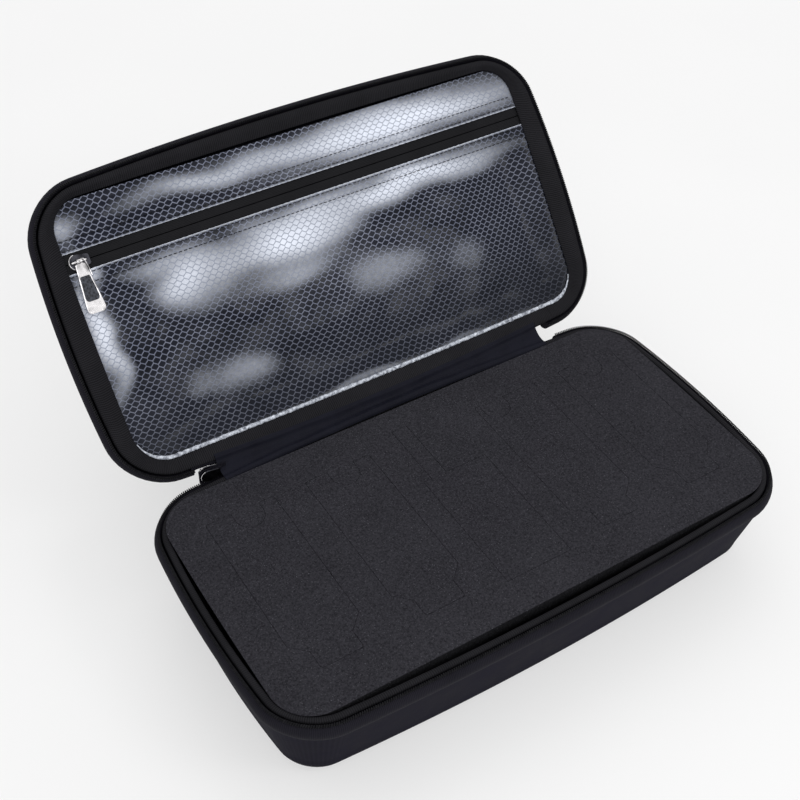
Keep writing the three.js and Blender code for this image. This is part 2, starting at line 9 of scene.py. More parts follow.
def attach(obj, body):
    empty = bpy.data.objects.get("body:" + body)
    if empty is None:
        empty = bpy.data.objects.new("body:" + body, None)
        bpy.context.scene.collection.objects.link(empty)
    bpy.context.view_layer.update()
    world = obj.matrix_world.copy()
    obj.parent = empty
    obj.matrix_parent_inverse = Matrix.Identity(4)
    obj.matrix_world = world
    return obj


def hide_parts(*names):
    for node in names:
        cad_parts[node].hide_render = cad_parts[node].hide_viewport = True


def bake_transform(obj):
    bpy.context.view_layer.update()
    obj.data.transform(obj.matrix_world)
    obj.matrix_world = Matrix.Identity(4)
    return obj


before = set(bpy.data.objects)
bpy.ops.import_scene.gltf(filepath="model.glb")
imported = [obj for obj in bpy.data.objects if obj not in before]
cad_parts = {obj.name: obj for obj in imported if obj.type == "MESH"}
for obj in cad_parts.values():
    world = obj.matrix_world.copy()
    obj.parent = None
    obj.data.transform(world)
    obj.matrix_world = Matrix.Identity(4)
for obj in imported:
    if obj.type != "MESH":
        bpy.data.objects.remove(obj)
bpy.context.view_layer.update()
RNG = random.Random(7)
MM = 0.001

# ---- Driving dimensions, in millimetres, as in the CAD model ---------------------------------

RIM_Z = 66.0
HINGE_Y = 95.4
LID_OPEN = math.radians(130.9)
RIM = dict(w=170.0, d=88.9, r=29.7, bx=6.1, by=6.5)
SEAM = 13.4
SEAM_END = 12.9  # depth at which tapes and hinge cover meet the shells
DRAFT = 0.218
WALL = 4.8
WALL_INSET = 0.3
LID_DEPTH = 32.0
BASE_FILLET, LID_FILLET = 13.7, 11.0


def inset(t):
    """The rim's plan, moved inwards by t."""
    return dict(w=RIM["w"] - t, d=RIM["d"] - t, r=RIM["r"] - t, bx=RIM["bx"], by=RIM["by"])


def pt(plan, s):
    """A point of a plan outline at station s = (kx, ky, ax, ay)."""
    x = s[0] * (plan["w"] - plan["r"]) + s[2] * plan["r"]
    y = s[1] * (plan["d"] - plan["r"]) + s[3] * plan["r"]
    bx = plan["bx"] * (1 - (y / plan["d"]) ** 2) * x / plan["w"]
    by = plan["by"] * (1 - (x / plan["w"]) ** 2) * y / plan["d"]
    return x + bx, y + by + plan.get("sy", 0.0)


def corner(kx, ky, start, n):
    """Stations round one corner, from the angle start in degrees."""
    out = []
    for i in range(n + 1):
        a = math.radians(start + 90 * i / n)
        out.append((kx, ky, math.cos(a), math.sin(a)))
    return out


def side(n, f):
    """Stations along a straight side, without its ends."""
    return [f(1 - 2 * (i + 1) / n) for i in range(n - 1)]


def stations(nc=12, nl=40, ns=20, x_left=None, x_right=None):
    """Round the outline counter-clockwise; open at the back between x_left and x_right if given."""
    rest = (
        corner(-1, 1, 90, nc)
        + side(ns, lambda k: (-1, k, -1, 0))
        + corner(-1, -1, 180, nc)
        + side(nl, lambda k: (-k, -1, 0, -1))
        + corner(1, -1, 270, nc)
        + side(ns, lambda k: (1, -k, 1, 0))
        + corner(1, 1, 0, nc)
    )
    if x_left is None:
        return side(nl, lambda k: (k, 1, 0, 1)) + rest
    reach = RIM["w"] - RIM["r"]
    head = [(x_left / reach, 1, 0, 1)]
    tail = [(x_right / reach, 1, 0, 1)]
    return head + rest + tail


def in_base(x, y, depth):
    return Vector((x, y, RIM_Z - depth)) * MM


def in_lid(x, y, depth):
    """Closed-lid coordinates, depth outwards from the zip plane, to the open rest position."""
    c, s = math.cos(LID_OPEN), math.sin(LID_OPEN)
    dy = y - HINGE_Y
    return Vector((x, HINGE_Y + dy * c + depth * s, RIM_Z - dy * s + depth * c)) * MM


# ---- Mesh helpers ----------------------------------------------------------------------------


def link(obj):
    bpy.context.scene.collection.objects.link(obj)
    return obj


def add_object(name, verts, faces, uvs=None, sharp=38):
    """uvs: one (u, v) pair in millimetres for each face corner, in face order."""
    mesh = bpy.data.meshes.new(name)
    mesh.from_pydata([tuple(v) for v in verts], [], faces)
    if uvs is not None:
        layer = mesh.uv_layers.new(name="mm")
        for loop, uv in zip(layer.data, uvs):
            loop.uv = uv
    mesh.polygons.foreach_set("use_smooth", [True] * len(mesh.polygons))
    mesh.set_sharp_from_angle(angle=math.radians(sharp))
    return link(bpy.data.objects.new(name, mesh))


def length_along(points, closed):
    total = [0.0]
    last = len(points) if closed else len(points) - 1
    for i in range(last):
        total.append(total[-1] + (points[(i + 1) % len(points)] - points[i]).length / MM)
    return total


def grid_faces(rings, wrap_j, wrap_i):
    """Faces and millimetre UVs over rings[j][i]; u runs along the stations, v along the section."""
    nj, ni = len(rings), len(rings[0])
    us = length_along(rings[0], wrap_i)
    vs = length_along([ring[0] for ring in rings], wrap_j)
    faces, uvs = [], []
    for j in range(nj if wrap_j else nj - 1):
        for i in range(ni if wrap_i else ni - 1):
            j2, i2 = (j + 1) % nj, (i + 1) % ni
            faces.append((j * ni + i, j * ni + i2, j2 * ni + i2, j2 * ni + i))
            uvs += [(us[i], vs[j]), (us[i + 1], vs[j]), (us[i + 1], vs[j + 1]), (us[i], vs[j + 1])]
    return faces, uvs


def signed_volume(verts, faces):
    total = 0.0
    for f in faces:
        for k in range(1, len(f) - 1):
            total += verts[f[0]].dot(verts[f[k]].cross(verts[f[k + 1]])) / 6
    return total


def loft(name, rings, wrap_j, wrap_i, sharp=38):
    """A closed mesh over rings[j][i], capped where it doesn't wrap and turned to face outwards."""
    verts = [p for ring in rings for p in ring]
    faces, uvs = grid_faces(rings, wrap_j, wrap_i)
    nj, ni = len(rings), len(rings[0])
    caps = []
    if not wrap_j:
        caps += [list(range(ni))[::-1], [(nj - 1) * ni + i for i in range(ni)]]
    if not wrap_i:
        caps += [[j * ni for j in range(nj)], [j * ni + ni - 1 for j in range(nj)][::-1]]
    for cap in caps:
        faces.append(tuple(cap))
        uvs += [(verts[k].x / MM, verts[k].y / MM) for k in cap]
    if signed_volume(verts, faces) < 0:
        at = 0
        flipped = []
        for k, f in enumerate(faces):
            flipped += uvs[at : at + len(f)][::-1]
            at += len(f)
            faces[k] = tuple(reversed(f))
        uvs = flipped
    return add_object(name, verts, faces, uvs, sharp)


def catmull(a, b, c, d, t):
    square = 2 * a - 5 * b + 4 * c - d
    cube = 3 * b - a - 3 * c + d
    return 0.5 * (2 * b + (c - a) * t + square * t * t + cube * t**3)


def smooth(points, n, closed=True):
    """Catmull-Rom through section points, n steps for each span."""
    out = []
    count = len(points)
    spans = count if closed else count - 1
    for k in range(spans):
        p = []
        for d in (-1, 0, 1, 2):
            i = k + d
            i = i % count if closed else min(max(i, 0), count - 1)
            p.append(points[i])
        for i in range(n):
            out.append(tuple(catmull(*four, i / n) for four in zip(*p)))
    if not closed:
        out.append(tuple(points[-1]))
    return out


def ease(t):
    t = min(1.0, max(0.0, t))
    return t * t * (3 - 2 * t)


def rings_of(section, place, st):
    """section: (inset or plan, depth) pairs."""
    rings = []
    for where, depth in section:
        plan = where if isinstance(where, dict) else inset(where)
        rings.append([place(*pt(plan, s), depth) for s in st])
    return rings


# ---- Materials -------------------------------------------------------------------------------


class Shade:
    """A Principled material with short calls for its nodes."""

    def __init__(self, name, rough, metal=0.0):
        self.mat = bpy.data.materials.new(name)
        self.mat.use_nodes = True
        self.nt = self.mat.node_tree
        self.bsdf = self.nt.nodes["Principled BSDF"]
        self.bsdf.inputs["Roughness"].default_value = rough
        self.bsdf.inputs["Metallic"].default_value = metal

    def node(self, kind):
        return self.nt.nodes.new("ShaderNode" + kind)

    def feed(self, value, socket):
        """Links a socket, or sets a plain value."""
        if isinstance(value, bpy.types.NodeSocket):
            self.nt.links.new(value, socket)
        else:
            socket.default_value = value

    def math(self, op, a, b=0.0, clamp=False):
        node = self.node("Math")
        node.operation = op
        node.use_clamp = clamp
        self.feed(a, node.inputs[0])
        self.feed(b, node.inputs[1])
        return node.outputs[0]

    def weigh(self, a, share, b):
        """share of a, and the rest b."""
        return self.math("ADD", self.math("MULTIPLY", a, share), self.math("MULTIPLY", b, 1 - share))

    def uv(self):
        """The mesh's own millimetres, as a vector and as u and v."""
        node = self.node("UVMap")
        node.uv_map = "mm"
        parts = self.node("SeparateXYZ")
        self.nt.links.new(node.outputs[0], parts.inputs[0])
        return node.outputs[0], parts.outputs[0], parts.outputs[1]

    def place(self):
        return self.node("TexCoord").outputs["Object"]

    def noise(self, vector, scale, detail=3.0, rough=0.6, distortion=0.0):
        node = self.node("TexNoise")
        self.nt.links.new(vector, node.inputs["Vector"])
        node.inputs["Scale"].default_value = scale
        node.inputs["Detail"].default_value = detail
        node.inputs["Roughness"].default_value = rough
        node.inputs["Distortion"].default_value = distortion
        return node.outputs[0]

    def stretch(self, vector, x, y, z):
        node = self.node("VectorMath")
        node.operation = "MULTIPLY"
        self.nt.links.new(vector, node.inputs[0])
        node.inputs[1].default_value = (x, y, z)
        return node.outputs[0]

    def ramp(self, value, stops):
        node = self.node("ValToRGB")
        self.nt.links.new(value, node.inputs[0])
        elements = node.color_ramp.elements
        while len(elements) < len(stops):
            elements.new(0.5)
        for element, (at, colour) in zip(elements, stops):
            element.position = at
            element.color = (*colour, 1)
        return node.outputs[0]

    def solid(self, colour):
        node = self.node("RGB")
        node.outputs[0].default_value = (*colour, 1)
        return node.outputs[0]

    def blend(self, share, a, b):
        node = self.node("Mix")
        node.data_type = "RGBA"
        for socket, value in zip((node.inputs[0], node.inputs[6], node.inputs[7]), (share, a, b)):
            self.nt.links.new(value, socket)
        return node.outputs[2]

    def span(self, value, lo, hi, out_lo=0.0, out_hi=1.0):
        node = self.node("MapRange")
        self.feed(value, node.inputs[0])
        for i, v in enumerate((lo, hi, out_lo, out_hi)):
            node.inputs[i + 1].default_value = v
        return node.outputs[0]

    def ribs(self, coordinate, pitch):
        """A rounded rib for each pitch, 0 to 1."""
        angle = self.math("MULTIPLY", coordinate, 2 * math.pi / pitch)
        wave = self.math("SINE", angle)
        return self.math("ADD", self.math("MULTIPLY", wave, 0.5), 0.5)

    def colour(self, socket):
        self.nt.links.new(socket, self.bsdf.inputs["Base Color"])

    def roughness(self, socket):
        self.nt.links.new(socket, self.bsdf.inputs["Roughness"])

    def bump(self, height, distance, strength):
        """Adds to the bumps already there; distance in millimetres."""
        node = self.node("Bump")
        node.inputs["Strength"].default_value = strength
        node.inputs["Distance"].default_value = distance * MM
        self.nt.links.new(height, node.inputs["Height"])
        previous = self.bsdf.inputs["Normal"].links
        if previous:
            self.nt.links.new(previous[0].from_socket, node.inputs["Normal"])
        self.nt.links.new(node.outputs[0], self.bsdf.inputs["Normal"])

    def set(self, **values):
        for key, value in values.items():
            self.bsdf.inputs[key.replace("_", " ")].default_value = value


def woven(name, dark, light, pitch, rough):
    """Fine plain weave in the surface's own millimetres, with faint mottling."""
    s = Shade(name, rough)
    _, u, v = s.uv()
    warp = s.ribs(u, pitch)
    weft = s.ribs(v, pitch)
    cross = s.math("MULTIPLY", warp, weft)
    mottle = s.noise(s.place(), 60, 4, 0.6)
    fine = s.noise(s.place(), 900, 2, 0.7)
    mix = s.weigh(cross, 0.35, mottle)
    s.colour(s.ramp(mix, [(0.2, dark), (0.85, light)]))
    s.roughness(s.span(mottle, 0.3, 0.7, rough - 0.06, rough + 0.08))
    s.bump(cross, 0.05, 0.5)
    s.bump(fine, 0.05, 0.35)
    s.set(Specular_IOR_Level=0.05)
    return s.mat


def ribbed(name, dark, light, pitch, along="u", depth=0.12):
    """Grosgrain tape: ribs across the run, with threads over them."""
    s = Shade(name, 0.72)
    vector, u, v = s.uv()
    run, across = (u, v) if along == "u" else (v, u)
    wobble = s.math("MULTIPLY", s.noise(vector, 0.15, 2), 0.9)
    rib = s.ribs(s.math("ADD", run, wobble), pitch)
    thread = s.ribs(across, pitch * 0.55)
    height = s.weigh(rib, 0.75, thread)
    patchy = s.noise(s.place(), 45, 3)
    tone = s.weigh(height, 0.6, patchy)
    s.colour(s.ramp(tone, [(0.15, dark), (0.9, light)]))
    s.bump(height, depth, 0.8)
    s.set(Specular_IOR_Level=0.07)
    return s.mat


def foam_material(name, dark, light, cut=False):
    """Open-cell foam with a few painted glints of reflected light; a cut side has streaks from the blade.
    """
    s = Shade(name, 0.93)
    at = s.place()
    grain = s.noise(at, 820, 3, 0.8)
    cells = s.node("TexVoronoi")
    cells.inputs["Scale"].default_value = 1100
    s.nt.links.new(at, cells.inputs["Vector"])
    patch = s.noise(at, 22, 4, 0.6)
    tone = s.weigh(grain, 0.86, patch)
    base = s.ramp(tone, [(0.34, dark), (0.66, light)])
    # Painted glints: specks of pale colour that stand in for sparkles of reflected light.
    painted_glint = s.math("GREATER_THAN", s.noise(at, 1300, 1, 0.5), 0.70)
    s.colour(s.blend(s.math("MULTIPLY", painted_glint, 0.45), base, s.solid((0.15, 0.15, 0.17))))
    s.bump(cells.outputs["Distance"], 0.28, 0.6)
    s.bump(grain, 0.25, 0.55)
    if cut:
        streak = s.noise(s.stretch(at, 420, 420, 60), 1.0, 4, 0.7)
        s.bump(streak, 1.3, 0.9)
    s.set(Specular_IOR_Level=0.12)
    return s.mat


MESH_ACROSS, MESH_UP = 4.7, 5.5  # the hexagon mesh's repeat, in millimetres


def film_material(name):
    """Clear film welded over a pale hexagon mesh, with highlights painted into its colour from a point
    attribute, and painted shade that darkens it towards the hinge side and the right.
    """
    s = Shade(name, 0.2)
    vector, u, v = s.uv()
    drift = s.math("MULTIPLY", s.noise(vector, 0.02, 2), 5.0)
    across = s.math("DIVIDE", u, MESH_ACROSS)
    up = s.math("DIVIDE", s.math("ADD", v, drift), MESH_UP)
    spans = []
    for shift in (100.0, 100.5):
        centre = []
        for value in (across, up):
            part = s.math("SUBTRACT", s.math("FRACT", s.math("ADD", value, shift)), 0.5)
            centre.append(s.math("MULTIPLY", part, part))
        spans.append(s.math("ADD", centre[0], s.math("MULTIPLY", centre[1], 1.8)))
    near = s.math("ABSOLUTE", s.math("SUBTRACT", spans[0], spans[1]))
    corner_gap = s.span(s.math("MINIMUM", spans[0], spans[1]), 0.19, 0.25)
    thread = s.math("MAXIMUM", s.span(near, 0.02, 0.16, 1.0, 0.0), corner_gap)
    cloud = s.noise(s.place(), 28, 5, 0.65, 0.4)
    # Painted highlight: a point attribute, roughened by grain, blends the cells to silver and the lines to
    # grey.
    painted_highlight = s.node("Attribute")
    painted_highlight.attribute_name = "painted_highlight"
    grain = s.math("SUBTRACT", s.noise(vector, 0.3, 5, 0.7), 0.5)
    highlight_and_grain = s.math("ADD", painted_highlight.outputs["Fac"], s.math("MULTIPLY", grain, 0.3))
    highlight_share = s.span(highlight_and_grain, 0.1, 1.0)
    lines = s.ramp(cloud, [(0.3, (0.130, 0.145, 0.205)), (0.7, (0.28, 0.30, 0.38))])
    cells = s.ramp(cloud, [(0.3, (0.002, 0.003, 0.007)), (0.75, (0.009, 0.011, 0.023))])
    # Painted shade: the film is darkened towards the hinge side and towards the right.
    shade = s.math("ADD", s.span(v, 15, 72, 0.0, 0.62), s.span(u, 60, 165, 0.0, 0.3), True)
    dark = s.solid((0.004, 0.005, 0.009))
    cell_highlight_share = s.math("POWER", highlight_share, 1.35)
    cells = s.blend(cell_highlight_share, s.blend(shade, cells, dark), s.solid((0.78, 0.82, 0.92)))
    lines = s.blend(highlight_share, s.blend(shade, lines, dark), s.solid((0.27, 0.30, 0.37)))
    s.colour(s.blend(thread, cells, lines))
    s.roughness(s.math("ADD", s.math("MULTIPLY", thread, 0.12), s.span(cloud, 0.3, 0.7, 0.22, 0.34)))
    s.bump(s.noise(s.place(), 60, 3, 0.5, 0.6), 0.8, 0.3)
    s.bump(thread, 0.25, 0.35)
    s.set(Specular_IOR_Level=0.14)
    return s.mat


def metal_material(name, tone, rough):
    """Plated metal, broken up by smudges and fine lines."""
    s = Shade(name, rough, 1.0)
    at = s.place()
    smudge = s.noise(at, 260, 4, 0.6)
    broad = s.noise(at, 190, 1, 0.4)
    mix = s.weigh(smudge, 0.3, broad)
    s.colour(s.ramp(mix, [(0.36, tuple(0.4 * c for c in tone)), (0.5, tone)]))
    s.roughness(s.span(smudge, 0.2, 0.8, rough * 0.7, rough * 1.6))
    s.bump(s.noise(s.stretch(at, 1, 1, 6), 1800, 2), 0.02, 0.25)
    return s.mat


def knurl_material(name):
    """The pulls' rough black inlay."""
    s = Shade(name, 0.42)
    at = s.place()
    cells = s.node("TexVoronoi")
    cells.inputs["Scale"].default_value = 700
    s.nt.links.new(at, cells.inputs["Vector"])
    s.colour(s.ramp(cells.outputs["Distance"], [(0.1, (0.004, 0.004, 0.006)), (0.8, (0.05, 0.055, 0.07))]))
    s.bump(cells.outputs["Distance"], 0.5, 0.9)
    s.set(Specular_IOR_Level=0.3)
    return s.mat


def plastic_material(name, tone, rough, light=None, gloss=0.3):
    """Streaked plastic or thread; light is the streaks' colour."""
    s = Shade(name, rough)
    at = s.place()
    streak = s.noise(at, 500, 3)
    s.colour(s.ramp(streak, [(0.3, tone), (0.7, light or tuple(c * 2.2 + 0.004 for c in tone))]))
    s.set(Specular_IOR_Level=gloss)
    s.roughness(s.span(streak, 0.2, 0.8, rough - 0.1, rough + 0.12))
    s.bump(streak, 0.04, 0.4)
    return s.mat


SHELL = woven("shell_weave", (0.0045, 0.0041, 0.0085), (0.0140, 0.0130, 0.0235), 0.8, 0.75)
LINING = woven("lining_satin", (0.006, 0.006, 0.010), (0.015, 0.015, 0.023), 0.6, 0.5)
SATIN = woven("hinge_satin", (0.0050, 0.0052, 0.0090), (0.0130, 0.0135, 0.0220), 0.6, 0.45)
TAPE = ribbed("zip_tape_ribbed", (0.0040, 0.0038, 0.0060), (0.0170, 0.0160, 0.0230), 1.0)
BINDING = ribbed("binding_ribbed", (0.0030, 0.0030, 0.0038), (0.0210, 0.0205, 0.0240), 1.25, depth=0.2)
FLAT_TAPE = ribbed("pocket_tape_ribbed", (0.005, 0.005, 0.006), (0.016, 0.016, 0.018), 0.9, along="v")
COIL = plastic_material("nylon_coil", (0.005, 0.005, 0.006), 0.5, gloss=0.08)
FOAM = foam_material("foam_charcoal", (0.0085, 0.0083, 0.0108), (0.0360, 0.0352, 0.0425))
FOAM_CUT = foam_material("foam_cut_side", (0.006, 0.006, 0.007), (0.024, 0.024, 0.028), cut=True)
FILM = film_material("mesh_film")
CHROME = metal_material("chrome_plate", (0.88, 0.86, 0.87), 0.14)
DARK_CHROME = metal_material("dark_chrome", (0.055, 0.055, 0.065), 0.3)
KNURL = knurl_material("black_inlay")
# The rolled edge's bright silver streaks are a painted highlight.
PAINTED_ROLL_HIGHLIGHT = plastic_material("film_roll", (0.09, 0.10, 0.13), 0.3, (0.74, 0.78, 0.86))
THREAD = plastic_material("black_thread", (0.004, 0.004, 0.005), 0.7, gloss=0.1)


def with_material(obj, mat):
    obj.data.materials.clear()
    obj.data.materials.append(mat)
    return obj


def dress(obj, mat, body, *nodes, slot=None):
    """Gives a piece its material and its body, and hides the CAD nodes that it stands for."""
    with_material(obj, mat)
    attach(obj, body)
    if nodes:
        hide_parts(*nodes)
    return obj


def paint(node, mat):
    """Gives a carried-over CAD node its material."""
    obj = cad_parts[node]
    for slot in obj.material_slots:
        slot.material = mat


# ---- Half shells -----------------------------------------------------------------------------


def wall(depth_total, fillet, offset, top):
    """A wall's section from depth top down and round its fillet, offset inwards from the outside."""
    centre_depth = depth_total - fillet
    centre_inset = WALL_INSET + DRAFT * max(0.0, centre_depth - SEAM) + fillet
    radius = fillet - offset
    points = []
    straight, rounded = 8, 10
    for i in range(straight):
        depth = top + (centre_depth - top) * i / straight
        points.append((WALL_INSET + DRAFT * max(0.0, depth - SEAM) + offset, depth))
    for i in range(rounded + 1):
        a = math.pi / 2 * i / rounded
        points.append((centre_inset - radius * math.cos(a), centre_depth + radius * math.sin(a)))
    return points


def shell(name, depth_total, fillet, place, body, node):
    """A moulded half: the outside, a rolled step at the seam, and the inside."""
    outside = wall(depth_total, fillet, 0.0, SEAM + 0.1)[::-1]
    roll = [(0.9, SEAM - 0.35), (2.0, SEAM - 0.4), (2.7, SEAM - 0.8), (2.7, 3.2)]
    inside = wall(depth_total, fillet, WALL, 3.2)
    rings = rings_of(outside + roll + inside, place, stations())
    obj = loft(name, rings, False, True, 50)
    return dress(obj, SHELL, body, node, slot="shell_fabric")


shell("base_shell_cover", RIM_Z, BASE_FILLET, in_base, "base", "base_shell")
shell("lid_shell_cover", LID_DEPTH, LID_FILLET, in_lid, "lid", "lid_shell")
paint("base_lining", LINING)
paint("lid_lining", LINING)

# ---- Zip tapes, coils and edge bindings ------------------------------------------------------

ZIP_LEFT, ZIP_RIGHT = -132.6, 130.0
# Sections are lists of (inset from the rim's plan, depth from the zip plane).
TAPE_SECTION = [
    (1.1, 2.6), (-0.4, 2.7), (-1.7, 4.2), (-2.4, 6.8), (-2.1, 9.6), (-1.0, 12.0), (0.3, SEAM_END),
    (2.2, SEAM_END), (2.35, 7.5),
]


def zip_tape(name, place, body, node):
    section = smooth(TAPE_SECTION, 4)
    rings = rings_of(section, place, stations(x_left=ZIP_LEFT, x_right=ZIP_RIGHT))
    return dress(loft(name, rings, True, False), TAPE, body, node, slot="tape")


def resample(points, step):
    """Points at an even spacing along a polyline."""
    out = [points[0].copy()]
    need = step
    for a, b in zip(points, points[1:]):
        gap = (b - a).length
        while gap >= need:
            a = a + (b - a) * (need / gap)
            out.append(a.copy())
            gap = (b - a).length
            need = step
        need -= gap
    return out


def tube(path, radii, sides, name, closed=False):
    """A tube along a path, with one radius for each point and flat ends."""
    rings = []
    up = Vector((0, 0, 1))
    count = len(path)
    for i, p in enumerate(path):
        a = path[(i - 1) % count] if closed else path[max(i - 1, 0)]
        b = path[(i + 1) % count] if closed else path[min(i + 1, count - 1)]
        t = (b - a).normalized()
        right = t.cross(up)
        if right.length < 1e-3:
            right = t.cross(Vector((0, 1, 0)))
        right.normalize()
        lift = right.cross(t)
        ring = []
        for k in range(sides):
            ang = 2 * math.pi * k / sides
            ring.append(p + (right * math.cos(ang) + lift * math.sin(ang)) * radii[i])
        rings.append(ring)
    turned = [[rings[i][k] for i in range(count)] for k in range(sides)]
    return loft(name, turned, True, closed, 60)


COIL_INSET, COIL_DEPTH = 0.1, 1.25
COIL_PITCH, COIL_STEPS = 1.3, 7
COIL_WIDE, COIL_HIGH, COIL_SHIFT = 0.55, 0.72, 0.2  # half sizes of a turn, and its shift inwards
COIL_WIRE = 0.42


def coil(name, place, body, node):
    """The nylon coil: one continuous flattened helix along the edge of its tape."""
    edge = stations(x_left=ZIP_LEFT, x_right=ZIP_RIGHT)
    line = [Vector((*pt(inset(COIL_INSET), s), 0)) for s in edge]
    line = resample(line, COIL_PITCH / COIL_STEPS)
    path = []
    for i, p in enumerate(line):
        a, b = line[max(i - 1, 0)], line[min(i + 1, len(line) - 1)]
        t = (b - a).normalized()
        outward = Vector((t.y, -t.x, 0))
        ang = 2 * math.pi * i / COIL_STEPS
        q = p + outward * (COIL_WIDE * math.cos(ang) - COIL_SHIFT)
        path.append(place(q.x, q.y, COIL_DEPTH - COIL_HIGH * math.sin(ang)))
    obj = tube(path, [COIL_WIRE * MM] * len(path), 5, name)
    return dress(obj, COIL, body, node, slot="coil")


BASE_BINDING = [
    (2.45, 3.0), (2.35, 1.6), (2.9, 0.8), (3.9, 0.55), (5.0, 0.62), (5.9, 1.1), (6.3, 2.2),
    (6.35, 5.0), (5.9, 5.7), (5.45, 5.2), (5.35, 3.2), (3.8, 2.95),
]
# The lid's binding is wider: its inner edge has three plans of its own.
LIP = dict(w=159.2, d=80.4, r=19.0, bx=1.5, by=1.5, sy=-1.6)
LIP_MID = dict(w=161.3, d=82.2, r=21.0, bx=3.2, by=3.2, sy=-0.9)
LIP_OUT = dict(w=163.4, d=83.6, r=23.0, bx=5.0, by=5.0, sy=-0.3)
LID_BINDING = [
    (2.45, 3.0), (2.35, 1.6), (2.9, 0.8), (3.9, 0.55), (LIP_OUT, 0.75), (LIP_MID, 1.9),
    (LIP, 3.6), (LIP, 4.35), (LIP_MID, 4.2), (6.2, 3.4), (3.8, 2.95),
]


def binding(name, section, place, body, node):
    """Ribbed tape over the rim; a section with plans in it is smoothed after it is placed."""
    has_plans = any(isinstance(where, dict) for where, _ in section)
    if not has_plans:
        section = smooth(section, 3)
    rings = rings_of(section, place, stations())
    if has_plans:
        rings = [list(r) for r in zip(*[smooth(list(col), 3) for col in zip(*rings)])]
        rings = [[Vector(p) for p in r] for r in rings]
    return dress(loft(name, rings, True, True, 60), BINDING, body, node, slot="tape")


for half, place, body, section in (
    ("base", in_base, "base", BASE_BINDING),
    ("lid", in_lid, "lid", LID_BINDING),
):
    zip_tape(half + "_zip_tape_roll", place, body, half + "_zip_tape")
    coil(half + "_zip_teeth", place, body, half + "_zip_coil")
    binding(half + "_edge_tape", section, place, body, half + "_edge_binding")

# ---- Foam ------------------------------------------------------------------------------------

FOAM_TOP = dict(w=166.4, d=84.0, r=24.0, bx=1.4, by=0.6, sy=0.9)
FOAM_NECK = dict(w=162.9, d=82.0, r=23.3, bx=1.3, by=0.4)
FOAM_CORE = dict(w=156.2, d=75.2, r=17.0, bx=1.3, by=1.0)
# Centre x, half width, and the notch's x from the centre.
BLOCKS = {
    "foam_plug_1": (-122.9, 22.2, 3.2),
    "foam_plug_2": (-57.9, 22.2, 2.0),
    "foam_plug_4": (65.1, 23.1, -10.5),
    "foam_plug_5": (129.1, 21.6, -0.8),
}


def arc(cx, cy, r, a0, a1, n):
    points = []
    for i in range(n + 1):
        a = math.radians(a0 + (a1 - a0) * i / n)
        points.append((cx + r * math.cos(a), cy + r * math.sin(a)))
    return points


BLOCK_BACK, BLOCK_FRONT, BLOCK_ROUND = 60, -58, 2.0
NOTCH_Y, NOTCH_RADIUS = 54, 9
NECK_HALF, TAPER_BACK, TAPER_FRONT = 13, -37, -46


def block_outline(x, half, notch_x, gap):
    """A battery block, narrower at the front and notched at the back; gap draws it in all round."""
    half, back, front = half - gap, BLOCK_BACK - gap, BLOCK_FRONT + gap
    neck, notch, r = NECK_HALF - gap, NOTCH_RADIUS + gap, BLOCK_ROUND
    line = arc(x - half + r, back - r, r, 180, 90, 5)
    line += [(x + notch_x - notch, back)]
    line += arc(x + notch_x, NOTCH_Y, notch, 180, 360, 16)
    line += [(x + notch_x + notch, back)]
    line += arc(x + half - r, back - r, r, 90, 0, 5)
    line += [(x + half, TAPER_BACK), (x + neck, TAPER_FRONT)]
    line += arc(x + neck - r, front + r, r, 0, -90, 5)
    line += arc(x - neck + r, front + r, r, -90, -180, 5)
    line += [(x - neck, TAPER_FRONT), (x - half, TAPER_BACK)]
    return line


LEAD_LEFT, LEAD_RIGHT, LEAD_FRONT, LEAD_BACK = -19.3, 25, -62, 24
SLOT_LEFT, SLOT_RIGHT, SLOT_BACK = -13.7, -3, 69


def lead_outline(gap):
    """The middle block, a rectangle with a narrow slot for leads behind it."""
    left, right, front, back = LEAD_LEFT + gap, LEAD_RIGHT - gap, LEAD_FRONT + gap, LEAD_BACK - gap
    slot_left, slot_right, slot_back = SLOT_LEFT + gap, SLOT_RIGHT - gap, SLOT_BACK - gap
    line = [(left, front), (right, front), (right, back), (slot_right, back)]
    line += [(slot_right, slot_back), (slot_left, slot_back), (slot_left, back), (left, back)]
    return line


def fill_between(name, outlines, z0, z1, soften):
    """A flat-topped solid from closed outlines (the first is the outside), by Blender's 2-D curve fill."""
    curve = bpy.data.curves.new(name, "CURVE")
    curve.dimensions = "2D"
    curve.fill_mode = "BOTH"
    curve.extrude = (z1 - z0) / 2 * MM - soften * MM
    curve.bevel_depth = soften * MM
    curve.bevel_resolution = 1
    curve.offset = -soften * MM
    for outline in outlines:
        spline = curve.splines.new("POLY")
        spline.points.add(len(outline) - 1)
        for point, (x, y) in zip(spline.points, outline):
            point.co = (x * MM, y * MM, 0, 1)
        spline.use_cyclic_u = True
    holder = link(bpy.data.objects.new(name + "_curve", curve))
    bpy.context.view_layer.update()
    mesh = bpy.data.meshes.new_from_object(holder.evaluated_get(bpy.context.evaluated_depsgraph_get()))
    bpy.data.objects.remove(holder)
    mesh.name = name
    mesh.transform(Matrix.Translation((0, 0, (z0 + z1) / 2 * MM)))
    mesh.polygons.foreach_set("use_smooth", [True] * len(mesh.polygons))
    mesh.set_sharp_from_angle(angle=math.radians(30))
    return link(bpy.data.objects.new(name, mesh))


FOAM_Z = RIM_Z + 0.2
FOAM_FLOOR = RIM_Z - 46
# Depths below the foam's top of its three layers, which lap a little.
TOP_END, NECK_START, NECK_END, CORE_START = 0.62, 0.6, 12, 11.9
CUT_BEVEL = 0.22
CUT = 0.08  # half the width of a cut line
holes = [block_outline(*b, -CUT) for b in BLOCKS.values()] + [lead_outline(-CUT)]


def foam_layer(name, plan, z0, z1, mat):
    outline = [pt(plan, s) for s in stations(16, 30, 16)]
    obj = fill_between(name, [outline] + holes, z0, z1, CUT_BEVEL)
    dress(obj, mat, "base", "foam_frame", slot="foam")


